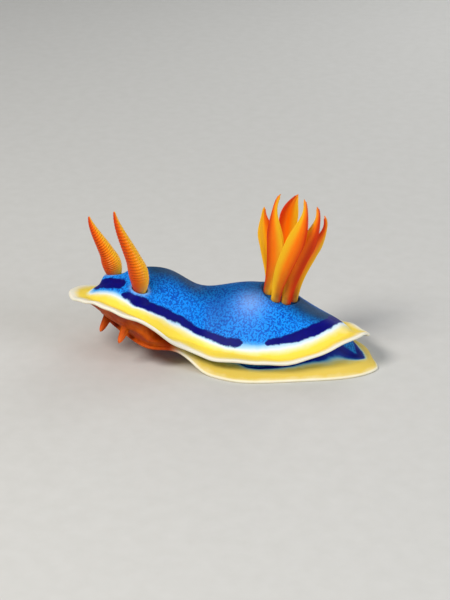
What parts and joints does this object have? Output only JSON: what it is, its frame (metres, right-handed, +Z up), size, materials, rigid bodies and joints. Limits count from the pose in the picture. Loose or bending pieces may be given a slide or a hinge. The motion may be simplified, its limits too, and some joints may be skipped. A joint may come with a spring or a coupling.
{
  "type": "sea slug model",
  "caption": "Still, life-size sea slug with a wavy-edged mantle, a flared foot, a pair of tapering feelers and a ring of feathery gills, its head reared and turned to one side.",
  "frame": {"origin": "on the floor, under the middle of the resting part of the sole", "axes": "+Y towards the tail along the length, +X to the animal's left, +Z up"},
  "size_m": [0.0256, 0.0459, 0.0264],
  "materials": {
    "mantle_skin": "moist, satin, speckled deep blue, with navy, white, yellow and cream bands at the edge",
    "flank_skin": "moist, satin, blue with a navy band",
    "foot_skin": "moist, satin, yellow with a pale edge",
    "head_skin": "moist, satin, orange brown",
    "rhinophore_skin": "moist, satin, orange",
    "gill_skin": "moist, satin, orange"
  },
  "bodies": {
    "root": {"mantle": "mantle_skin", "head": "head_skin", "body": "flank_skin", "foot": "foot_skin", "tail": "flank_skin", "oral_tentacle_left": "head_skin", "oral_tentacle_right": "head_skin", "rhinophore_left": "rhinophore_skin", "rhinophore_right": "rhinophore_skin", "gill_plume_1": "gill_skin", "gill_plume_2": "gill_skin", "gill_plume_3": "gill_skin", "gill_plume_4": "gill_skin", "gill_plume_5": "gill_skin", "gill_plume_6": "gill_skin", "gill_plume_7": "gill_skin"}
  },
  "joints": []
}
